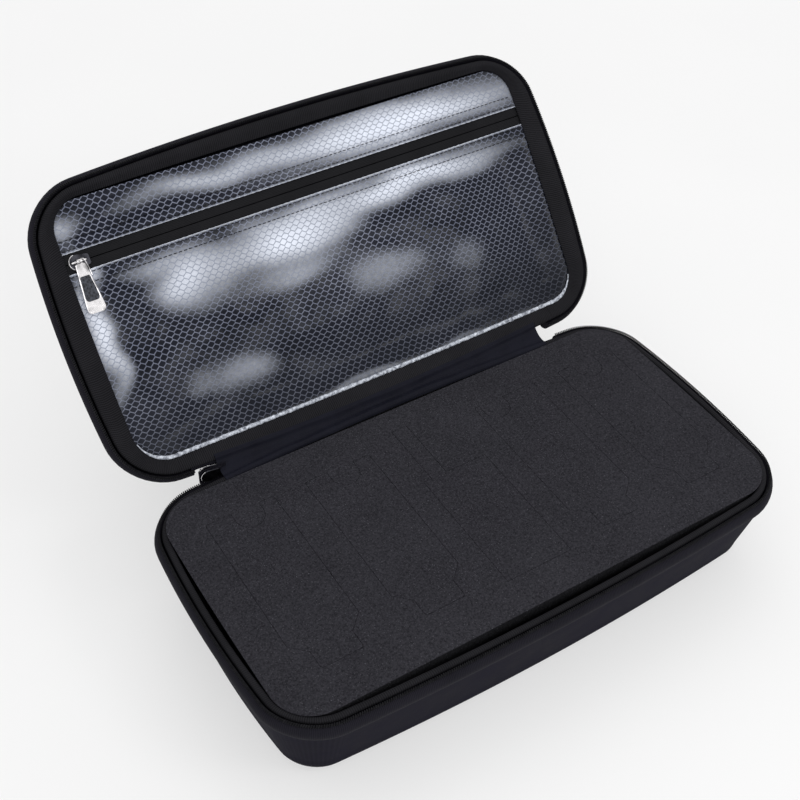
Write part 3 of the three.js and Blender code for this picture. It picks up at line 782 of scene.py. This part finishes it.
foam_layer("foam_top", FOAM_TOP, FOAM_Z - TOP_END, FOAM_Z, FOAM)
foam_layer("foam_rim", FOAM_NECK, FOAM_Z - NECK_END, FOAM_Z - NECK_START, FOAM_CUT)
foam_layer("foam_core", FOAM_CORE, FOAM_FLOOR, FOAM_Z - CORE_START, FOAM_CUT)
plugs = {name: block_outline(*b, CUT) for name, b in BLOCKS.items()}
plugs["foam_plug_3"] = lead_outline(CUT)
for name, outline in plugs.items():
    piece = fill_between(name + "_cut", [outline], FOAM_FLOOR, FOAM_Z, CUT_BEVEL)
    dress(piece, FOAM, name.replace("foam_", ""), name, slot="foam")
paint("foam_base_pad", FOAM)

# ---- Hinge fabric ----------------------------------------------------------------------------

LINING_HALF, COVER_HALF = 118.5, 117.0


def strip(name, chain, half, columns, thick, wrinkle, mat, node):
    """A strip of cloth along the hinge, which bends from start, on the base, to end, on the lid.

    chain(x) gives its section, from the base to the lid, and wrinkle(x, share of the way) its folds.
    """
    xs = [half * (2 * i / columns - 1) for i in range(columns + 1)]
    rows = [[Vector(p) * MM for p in chain(x)] for x in xs]
    count = len(rows[0])
    face, back = [], []
    for j in range(count):
        top, under = [], []
        for x, row in zip(xs, rows):
            a, b = row[max(j - 1, 0)], row[min(j + 1, count - 1)]
            t = (b - a).normalized()
            normal = Vector((0, -t.z, t.y))
            lift = wrinkle(x, j / (count - 1)) * MM
            top.append(row[j] + normal * lift)
            under.append(row[j] + normal * (lift - thick * MM))
        face.append(top)
        back.append(under)
    obj = loft(name, face + back[::-1], True, False, 50)
    dress(obj, mat, "base", node, slot="lining_fabric" if mat is SATIN else "shell_fabric")
    obj.parent = None
    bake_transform(obj)


def rim_y(x, t):
    """The y of the plan's back edge at x, moved inwards by t."""
    return pt(inset(t), (x / (RIM["w"] - RIM["r"]), 1, 0, 1))[1]


def lining_chain(x):
    """From the foam's back edge, up over the base's rim, into the fold and up to the lid's binding."""
    y0, y1 = rim_y(x, 6.6), rim_y(x, 1.2)
    points = [(x, y0, RIM_Z - 1.9), (x, y0 + 1.2, RIM_Z - 0.25), (x, (y0 + y1) / 2, RIM_Z + 0.1)]
    points += [(x, y1 - 0.4, RIM_Z - 0.3)]
    lid = [(y1 - 0.4, 0.3), ((y0 + y1) / 2, -0.1), (y0 + 1.6, 0.2), (y0 + 0.4, 1.0)]
    fold = in_lid(x, y1 - 0.2, 0.5) / MM
    middle = (Vector((x, y1, RIM_Z - 0.5)) + fold) / 2
    points.append((x, middle.y, middle.z - 0.5))
    points += [tuple(in_lid(x, y, d) / MM) for y, d in lid]
    return smooth(points, 4, closed=False)


def cover_chain(x):
    """The outside of the hinge: from the base's seam up to the fold and down to the lid's seam."""
    y = rim_y(x, 0.0)
    profile = [(rim_y(x, -0.1), SEAM_END), (y + 0.25, 8), (y + 0.1, 4.2)]
    low = [(x, at, RIM_Z - depth) for at, depth in profile]
    high = [tuple(in_lid(x, at, depth) / MM) for at, depth in profile]
    middle = (Vector(low[2]) + Vector(high[2])) / 2
    points = low + [(x, middle.y, middle.z + 1.0)] + high[::-1]
    return smooth(points, 4, closed=False)


def lining_wrinkle(x, t):
    fade = math.sin(math.pi * t) ** 0.7
    a = noise.noise(Vector((x / 26, 2.2 * t + x / 70, 3.3)))
    b = noise.noise(Vector((x / 11 + 4, 3.0 * t - x / 40, 8.1)))
    return fade * (0.55 * a + 0.22 * b) + 0.25


def cover_wrinkle(x, t):
    return 0.3 * math.sin(math.pi * t) * noise.noise(Vector((x / 30, 2 * t, 1.1)))


strip(
    "hinge_lining_cloth",
    lining_chain,
    LINING_HALF,
    150,
    0.5,
    lining_wrinkle,
    SATIN,
    "hinge_lining",
)
strip(
    "hinge_cover_cloth",
    cover_chain,
    COVER_HALF,
    90,
    0.6,
    cover_wrinkle,
    SHELL,
    "hinge_cover",
)

BACKING_X, BACKING_WIDTH = -131.8, 17.6
TAPE_END_X, TAPE_END_WIDTH = -134.0, 18.0
PULL_X, PULL_HALF = -127, 5.6  # where lid_tape_end gives way to the main pull


def slider_backing():
    """A tab of tape in the main slider's mouth that closes the gap between base and lid."""
    run = [(92.6, 54), (93.4, 58), (94.9, 60.6), (95.4, 62.8), (95.4, 66), (95.4, 70.4)]
    curve = smooth(run, 5, closed=False)
    columns = 10
    xs = [BACKING_X + BACKING_WIDTH * i / columns for i in range(columns + 1)]
    front = [[Vector((x, y, z)) * MM for x in xs] for y, z in curve]
    back = [[Vector((x, y + 0.4, z - 0.2)) * MM for x in xs] for y, z in curve[::-1]]
    obj = loft("slider_backing", front + back, True, False, 50)
    dress(obj, TAPE, "base", slot="tape")


def lid_tape_end():
    """The plain end of the lid's tape between the slider and the hinge fabric."""
    run = [(3.4, 1.6), (2.3, 1.7), (1.1, 2.1), (0.35, 2.9), (0.25, 5.0), (0.2, 9.0)]
    run += [(0.15, SEAM_END)]
    curve = smooth(run, 4, closed=False)

    def dip(x, d):
        """How far the tape gives way to the main pull's barrel and bow."""
        across = ease((PULL_HALF - abs(x - PULL_X)) / 1.6)
        return 0.42 * across * ease((9 - d) / 3) * ease((d - 1.6) / 0.6)

    columns = 12
    xs = [TAPE_END_X + TAPE_END_WIDTH * i / columns for i in range(columns + 1)]
    front = [[in_lid(x, rim_y(x, t + dip(x, d)), d) for x in xs] for t, d in curve]
    back = [[in_lid(x, rim_y(x, t + dip(x, d) + 0.3), d + 0.25) for x in xs] for t, d in curve[::-1]]
    obj = loft("lid_tape_end", front + back, True, False, 50)
    dress(obj, TAPE, "lid", slot="tape")


slider_backing()
lid_tape_end()

# ---- Lid pocket ------------------------------------------------------------------------------

FILM_PLAN = dict(w=161.0, d=81.6, r=21.0, bx=2.6, by=2.2)
FILM_DEPTH, FILM_THICK = 4.7, 0.35
FILM_NEAR, FILM_FAR = 80.8, -81.4
WIDEST_Y = 81.2  # beyond it half_width's corners would close up
ZIP_Y = -46.7
FAR_EDGE, NEAR_EDGE = -52.6, -40.9
HEM = 7.2


def flat_place(p):
    """The closed-lid (x, y) of a point on the open lid."""
    dy = (p.y / MM - HINGE_Y) * math.cos(LID_OPEN) - (p.z / MM - RIM_Z) * math.sin(LID_OPEN)
    return p.x / MM, HINGE_Y + dy


def half_width(y):
    """Half the film's width at y, with its rounded corners."""
    over = max(0.0, abs(y) - (FILM_PLAN["d"] - FILM_PLAN["r"]))
    cut = FILM_PLAN["r"] - math.sqrt(max(0.0, FILM_PLAN["r"] ** 2 - over**2))
    return FILM_PLAN["w"] - cut + FILM_PLAN["bx"] * (1 - (y / FILM_PLAN["d"]) ** 2)


def film_depth(x, y, edge):
    """How far behind the zip plane the film lies: slack in the middle, held flat at its edges."""
    side_gap = (half_width(y) - abs(x)) / 26
    end_gap = (78.5 - abs(y)) / 16
    zip_gap = (abs(y - edge) - 4) / 15
    fade = ease(side_gap) * ease(end_gap) * ease(zip_gap)
    at = Vector((x / 62, y / 48, 0))
    broad = noise.noise(at + Vector((3.1, 7.7, 1.3)))
    mid = noise.noise(at * 2.3 + Vector((1.4, 0.2, 5.3)))
    fine = noise.noise(at * 6.1 + Vector((2.9, 6.1, 0.4)))
    slack = 3.1 + 4.6 * broad + 1.5 * mid + 0.28 * fine
    crease = 0.12 * noise.noise(Vector((x / 9, y / 7, 2.0)))
    step = -0.3 * ease((HEM - abs(y - edge)) / 0.8)
    return FILM_DEPTH + max(0.0, fade * slack) + crease * ease(side_gap * 3) + step


# Painted highlights on the film, patches of bright colour where reflections would fall: centre x, y, half
# length, half height, strength.
PAINTED_HIGHLIGHTS = [
    (68, -67, 128, 15, 1.0),
    (-58, -71, 74, 9, 0.6),
    (-152, -68, 13, 10, 0.55),
    (-156, -6, 12, 50, 0.95),
    (-152, -38, 11, 9, 0.55),
    (66, -30, 98, 11, 1.0),
    (-24, -20, 62, 17, 1.0),
    (-92, -15, 30, 22, 0.85),
    (-112, -32, 30, 8, 0.45),
    (-28, 2, 46, 11, 0.5),
    (32, 19, 36, 15, 0.42),
    (90, 26, 26, 15, 0.28),
    (-76, 47, 26, 17, 0.46),
    (-108, 44, 20, 14, 0.3),
    (20, -47, 175, 9, 0.25),
    (0, 80, 165, 4, 0.35),
]


def painted_highlight(x, y, edge):
    """How strongly a highlight is painted into the film's colour at a point, 0 to 1."""
    warp = Vector((x / 34, y / 22, 4.2))
    x += 12 * noise.noise(warp)
    y_bent = y + 5 * noise.noise(warp + Vector((7, 3, 1)))
    left = 1.0
    for cx, cy, rx, ry, strength in PAINTED_HIGHLIGHTS:
        far = math.hypot((x - cx) / rx, (y_bent - cy) / ry)
        left *= 1 - strength * (1 - ease((far - 0.05) / 1.45)) ** 1.3
    left *= 1 - 0.8 * ease(1 - abs(y - edge) / 1.2)
    return 1 - left


def film(name, y_from, y_to, edge, rows, node):
    """A panel of film from y_from to y_to, welded along its scalloped edge beside the zip."""
    columns, scallop, scallop_pitch = 170, 0.45, 4.3
    rings = []
    for j in range(rows + 1):
        ring = []
        for i in range(columns + 1):
            y = y_from + (y_to - y_from) * j / rows
            k = 2 * i / columns - 1
            x = k * half_width(max(-WIDEST_Y, min(WIDEST_Y, y)))
            if abs(y - edge) < 0.01:
                y += scallop * abs(((x / scallop_pitch) % 1) - 0.5) * (1 if edge > ZIP_Y else -1)
            ring.append(in_lid(x, y, film_depth(x, y, edge)))
        rings.append(ring)
    normal = in_lid(0, 0, 1) - in_lid(0, 0, 0)
    back = [[p + normal * FILM_THICK for p in ring] for ring in rings[::-1]]
    obj = loft(name, rings + back, True, False, 70)
    layer = obj.data.uv_layers["mm"]
    flat = [flat_place(v.co) for v in obj.data.vertices]
    for loop, uv in zip(obj.data.loops, layer.data):
        uv.uv = flat[loop.vertex_index]
    # Each point gets the strength of the painted highlight.
    tone = obj.data.attributes.new("painted_highlight", "FLOAT", "POINT")
    for value, (x, y) in zip(tone.data, flat):
        value.value = painted_highlight(x, y, edge)
    dress(obj, FILM, "lid", node, slot="film")


film("pocket_film_far", FILM_FAR, FAR_EDGE, FAR_EDGE, 26, "pocket_panel_far")
film("pocket_film_near", NEAR_EDGE, FILM_NEAR, NEAR_EDGE, 90, "pocket_panel_near")


def fold_roll():
    """The film's rolled edge beside the binding on the hinge side; its highlight is painted in as a bright
    streaked colour.
    """
    plan = dict(LIP, w=LIP["w"] - 0.6, d=LIP["d"] - 0.7)
    line = []
    for s in stations():
        x, y = pt(plan, s)
        if y > 62:
            line.append((x, y))
    line.sort(key=lambda q: q[0])
    path = [Vector(in_lid(x, y, 3.9 + 0.25 * noise.noise(Vector((x / 8, 0, 0))))) for x, y in line]
    path = resample(path, 1.4 * MM)
    radii = []
    for i in range(len(path)):
        ends = min(i, len(path) - 1 - i) / 14
        radii.append((0.3 + 1.0 * ease(ends)) * (1 + 0.35 * noise.noise(Vector((i / 1.6, 2, 0)))) * MM)
    dress(tube(path, radii, 8, "pocket_film_roll"), PAINTED_ROLL_HIGHLIGHT, "lid", slot="film")


fold_roll()


STITCH_ROWS = (-60.2, -54.4, -39.2, -33.4)
STITCH_DEPTH, STITCH_PITCH, STITCH_LENGTH, STITCH_RADIUS = 4.25, 3.3, 2.5, 0.24


def stitch_row(verts, faces, y, reach):
    """Adds a row of stitches, each a short six-sided thread that leans a little at random."""
    for k in range(int(2 * reach / STITCH_PITCH)):
        x = k * STITCH_PITCH - reach
        lean = 0.12 * RNG.uniform(-1, 1)
        first = len(verts)
        for t, r, rise in ((0, 0.35, 0.2), (0.2, 1, 0), (0.8, 1, 0), (1, 0.35, 0.2)):
            for c in range(6):
                a = 2 * math.pi * c / 6
                yy = y + lean * (t - 0.5) + STITCH_RADIUS * r * math.cos(a)
                depth = STITCH_DEPTH + rise + STITCH_RADIUS * r * math.sin(a)
                verts.append(in_lid(x + t * STITCH_LENGTH, yy, depth))
        for ring in range(3):
            for c in range(6):
                a, b = first + ring * 6 + c, first + ring * 6 + (c + 1) % 6
                faces.append((a, b, b + 6, a + 6))
        faces.append(tuple(first + c for c in range(6))[::-1])
        faces.append(tuple(first + 18 + c for c in range(6)))


def stitches():
    verts, faces = [], []
    for y in STITCH_ROWS:
        stitch_row(verts, faces, y, half_width(y) - 3)
    obj = add_object("pocket_stitches", verts, faces)
    dress(obj, THREAD, "lid", slot="tape")


stitches()


TAPE_HALF, TAPE_WIDTH, TAPE_GAP = 163.5, 11.5, 0.15


def pocket_tape(name, y0, y1, node):
    """One half of the pocket's zip tape, a little rounded where it meets the other."""
    lean = 1 if y1 > y0 else -1
    section = [(y0, 5.75), (y0 + 0.25 * lean, 5.3), (y0 + 1.2 * lean, 5.12), (y0 + 4 * lean, 5.2)]
    section += [(y0 + 5.5 * lean, 5.3), (y1, 5.35), (y1, 6.0), (y0 + 2 * lean, 6.05)]
    n = 160
    rings = []
    for y, depth in section:
        rings.append([in_lid(-TAPE_HALF + 2 * TAPE_HALF * i / n, y, depth) for i in range(n + 1)])
    dress(loft(name, rings, True, False, 50), FLAT_TAPE, "lid", node, slot="tape")


pocket_tape("pocket_zip_tape_far", ZIP_Y - TAPE_GAP, ZIP_Y - TAPE_WIDTH, "pocket_tape_far")
pocket_tape("pocket_zip_tape_near", ZIP_Y + TAPE_GAP, ZIP_Y + TAPE_WIDTH, "pocket_tape_near")
paint("pocket_coil_far", COIL)
paint("pocket_coil_near", COIL)

# ---- Sliders and pulls -----------------------------------------------------------------------

# A slider is drawn with x along its zip and z into the zip; its bridge stands in front of its plates.
PLATE_THICK = 0.85
BRIDGE_RISE = 1.75
POCKET_X = -152.0
POCKET_FRONT, POCKET_BACK = 4.35, 8.4
POCKET_BRIDGE = POCKET_FRONT - BRIDGE_RISE
MAIN_X = -125.6
MAIN_FRONT, MAIN_BACK = -2.3, 1.3
MAIN_BRIDGE = MAIN_FRONT - BRIDGE_RISE
PULL_LENGTH = 31.0
BARREL_OUTER, BARREL_INNER = 1.5, 1.08


def on_pocket(p, drop=0.0):
    return in_lid(POCKET_X - p[0], ZIP_Y - p[1], p[2] + drop)


def on_main_slider(p):
    return Vector((MAIN_X - p[0], HINGE_Y - p[2], RIM_Z - p[1])) * MM


def on_main_pull(p):
    return Vector((MAIN_X + p[0], HINGE_Y - MAIN_BRIDGE - p[2], RIM_Z + p[1])) * MM


def mapped(obj, fn):
    for v in obj.data.vertices:
        v.co = fn(v.co / MM)
    obj.data.update()
    return obj


def merged(name, objects):
    """One object out of several; each part keeps its own material."""
    verts, faces, slots, mats = [], [], [], []
    for obj in objects:
        first = len(verts)
        mat = obj.data.materials[0]
        if mat not in mats:
            mats.append(mat)
        verts += [v.co.copy() for v in obj.data.vertices]
        faces += [tuple(first + i for i in f.vertices) for f in obj.data.polygons]
        slots += [mats.index(mat)] * len(obj.data.polygons)
        mesh = obj.data
        bpy.data.objects.remove(obj)
        bpy.data.meshes.remove(mesh)
    whole = add_object(name, verts, faces)
    for mat in mats:
        whole.data.materials.append(mat)
    whole.data.polygons.foreach_set("material_index", slots)
    return whole


def bezier(p0, p1, p2, p3, n):
    out = []
    for i in range(n):
        t = i / n
        k = ((1 - t) ** 3, 3 * t * (1 - t) ** 2, 3 * t * t * (1 - t), t**3)
        out.append(tuple(sum(w * p[c] for w, p in zip(k, (p0, p1, p2, p3))) for c in (0, 1)))
    return out


def plate_outline(grow=0.0):
    """A slider's plate: a rounded nose and a straight tail, grown all round."""
    nose, tail, end = 4.5 + grow, 3.3 + grow, 7 + grow
    points = bezier((1, -nose), (end, -nose), (end, nose), (1, nose), 22)
    points += [(1, nose), (-end + 1.2, tail)]
    points += arc(-end + 1.2, tail - 1.2, 1.2, 90, 180, 4)[1:]
    points += arc(-end + 1.2, -tail + 1.2, 1.2, 180, 270, 4)
    return points


def rod(path, radius, sides, closed=False):
    return tube([Vector(p) * MM for p in path], [radius * MM] * len(path), sides, "rod", closed)


def metal_piece(name, parts, fn, body, node):
    """One piece out of its parts, put in place by fn."""
    whole = mapped(merged(name, parts), fn)
    whole.data.set_sharp_from_angle(angle=math.radians(40))
    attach(whole, body)
    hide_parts(node)


def slider(name, front, back, lip_radius, fn, body, node):
    """Two plates with chrome lips, the neck that joins them, and a wire bridge for the pull."""
    bridge = front - BRIDGE_RISE
    parts = []
    for z in (front, back):
        plate = fill_between("plate", [plate_outline()], z, z + PLATE_THICK, 0.3)
        parts.append(with_material(plate, DARK_CHROME))
        lip = [(x, y, z + 0.42) for x, y in plate_outline(-0.2)[2:22]]
        parts.append(with_material(rod(lip, lip_radius, 8), CHROME))
    neck = fill_between("neck", [arc(3.5, 0, 1.5, 0, 340, 16)], front, back + 0.4, 0.1)
    parts.append(with_material(neck, DARK_CHROME))
    arch = [(-4.5, 0, front + 0.4), (-4.5, 0, bridge + 0.9), (-4.1, 0, bridge + 0.2), (-3.3, 0, bridge)]
    arch += [(x, 0, bridge) for x in (-2.0, 0.0, 2.0)]
    arch += [(-x, y, z) for x, y, z in arch[3::-1]]
    parts.append(with_material(rod(smooth(arch, 4, closed=False), 0.68, 12), CHROME))
    metal_piece(name, parts, fn, body, node)


def tapered(near, far, w0, w1, r):
    """An outline from near to far that widens from w0 to w1, with its far corners rounded by r."""
    points = [(-w0 / 2 + 0.6, -near), (w0 / 2 - 0.6, -near), (w0 / 2, -near - 0.6)]
    points += [(w1 / 2, -far + r + 1.5)]
    points += arc(w1 / 2 - r, -far + r, r, 0, -90, 7)
    points += arc(-w1 / 2 + r, -far + r, r, -90, -180, 7)
    points += [(-w1 / 2, -far + r + 1.5), (-w0 / 2, -near - 0.6)]
    return points[::-1]


def pull(name, fn, body):
    """A tapered chrome tab on a barrel, with a window and a wire bow over one shoulder.

    The inlay in the window is a piece of its own. The pull's CAD node has its body's name.
    """
    window = tapered(9.0, 23.6, 5.8, 8.0, 1.8)
    tab = fill_between("tab", [tapered(1.3, PULL_LENGTH, 6.3, 11.1, 2.6), window], -0.3, 1.35, 0.45)
    turns = [2 * math.pi * k / 20 for k in range(20)]
    eye = rod([(0, 1.3 * math.cos(a), 1.3 * math.sin(a)) for a in turns], 0.24, 8, True)
    # The bow hugs the barrel, so it clears the bridge inside it and the slider's plate outside it.
    bow = [(-0.9, 1.15, -0.5), (-1.7, 1.1, -0.65), (-2.5, 0.75, -1.05), (-2.95, -0.1, -1.3)]
    bow += [(-3.3, -1.3, -1.05), (-3.7, -3.0, -0.5), (-4.1, -5.6, 0.0), (-4.4, -9.5, 0.1)]
    wire = rod(smooth(bow, 6, closed=False), 0.34, 8)
    circles = [arc(0, 0, r, 0, 354, 30) for r in (BARREL_OUTER, BARREL_INNER)]
    barrel = fill_between("barrel", circles, -1.5, 1.5, 0.12)
    mapped(barrel, lambda p: Vector((p[2], p[0], p[1])) * MM)
    parts = [with_material(o, CHROME) for o in (tab, wire, barrel)] + [with_material(eye, DARK_CHROME)]
    metal_piece(name, parts, fn, body, body)
    inlay = fill_between(name + "_window", [tapered(8.8, 23.8, 6.0, 8.2, 1.9)], 0.1, 1.0, 0.2)
    dress(mapped(inlay, fn), KNURL, body, body + "_inlay", slot="inlay")


slider("pocket_zip_slider", POCKET_FRONT, POCKET_BACK, 0.42, on_pocket, "pocket_slider", "pocket_slider")
slider("main_zip_slider", MAIN_FRONT, MAIN_BACK, 0.26, on_main_slider, "base", "main_slider")
pull("pocket_zip_pull", lambda p: on_pocket(p, POCKET_BRIDGE), "pocket_pull")
pull("main_zip_pull", on_main_pull, "main_pull")
paint("zip_closed_end", TAPE)

# ---- Camera, floor and light -----------------------------------------------------------------

# The photo's camera: its axes in the frame, its place in metres, and its focal length.
RIGHT = Vector((0.84585306, -0.5327058, 0.02751608))
DOWN = Vector((-0.35644472, -0.60284877, -0.71380706))
FORWARD = Vector((0.39683719, 0.59396793, -0.69980165))
CAMERA_AT = (-0.31930992, -0.39636744, 0.63945564)
SENSOR = 36.0
FOCAL_SHARE = 1.618529  # focal length over sensor width
camera_data = bpy.data.cameras.new("camera")
camera_data.sensor_width = SENSOR
camera_data.lens = SENSOR * FOCAL_SHARE
camera = link(bpy.data.objects.new("camera", camera_data))
camera.matrix_world = Matrix(
    (
        (RIGHT.x, -DOWN.x, -FORWARD.x, CAMERA_AT[0]),
        (RIGHT.y, -DOWN.y, -FORWARD.y, CAMERA_AT[1]),
        (RIGHT.z, -DOWN.z, -FORWARD.z, CAMERA_AT[2]),
        (0, 0, 0, 1),
    )
)
bpy.context.scene.camera = camera


def floor_material():
    """A pale floor that glows a little, so that it stays near white."""
    s = Shade("studio_floor", 0.7)
    s.colour(s.ramp(s.noise(s.place(), 3, 2), [(0.3, (0.395, 0.395, 0.395)), (0.7, (0.41, 0.41, 0.41))]))
    s.set(Specular_IOR_Level=0.1, Emission_Color=(1, 1, 1, 1), Emission_Strength=0.49)
    return s.mat


floor = add_object("floor", [(-4, -4, 0), (4, -4, 0), (4, 4, 0), (-4, 4, 0)], [(0, 1, 2, 3)])
floor.data.materials.append(floor_material())


def studio_world():
    """A bright ceiling that falls off towards the horizon."""
    world = bpy.data.worlds.new("studio")
    world.use_nodes = True
    nt = world.node_tree
    at = nt.nodes.new("ShaderNodeTexCoord")
    parts = nt.nodes.new("ShaderNodeSeparateXYZ")
    ramp = nt.nodes.new("ShaderNodeValToRGB")
    nt.links.new(at.outputs["Generated"], parts.inputs[0])
    nt.links.new(parts.outputs[2], ramp.inputs[0])
    nt.links.new(ramp.outputs[0], nt.nodes["Background"].inputs[0])
    ramp.color_ramp.elements[0].position = 0.0
    ramp.color_ramp.elements[0].color = (0.80, 0.80, 0.81, 1)
    ramp.color_ramp.elements[1].position = 0.75
    ramp.color_ramp.elements[1].color = (1.0, 1.0, 1.0, 1)
    nt.nodes["Background"].inputs[1].default_value = 0.88
    bpy.context.scene.world = world


studio_world()


def softbox(name, at, target, size, power, size_y=None):
    data = bpy.data.lights.new(name, "AREA")
    data.energy = power
    data.shape = "RECTANGLE"
    data.size = size
    data.size_y = size_y or size
    obj = link(bpy.data.objects.new(name, data))
    obj.location = at
    obj.rotation_euler = (Vector(target) - Vector(at)).to_track_quat("-Z", "Y").to_euler()


softbox("key_above", (0.5, 0.9, 1.7), (0, 0.05, 0), 1.2, 5)
softbox("front_fill", (-0.9, -1.3, 1.5), (0, 0, 0.03), 1.4, 9)
softbox("front_glow", (0.55, -0.85, 0.95), (0, 0.15, 0.13), 0.42, 2.5, 0.3)
bpy.context.scene.view_settings.view_transform = "Standard"
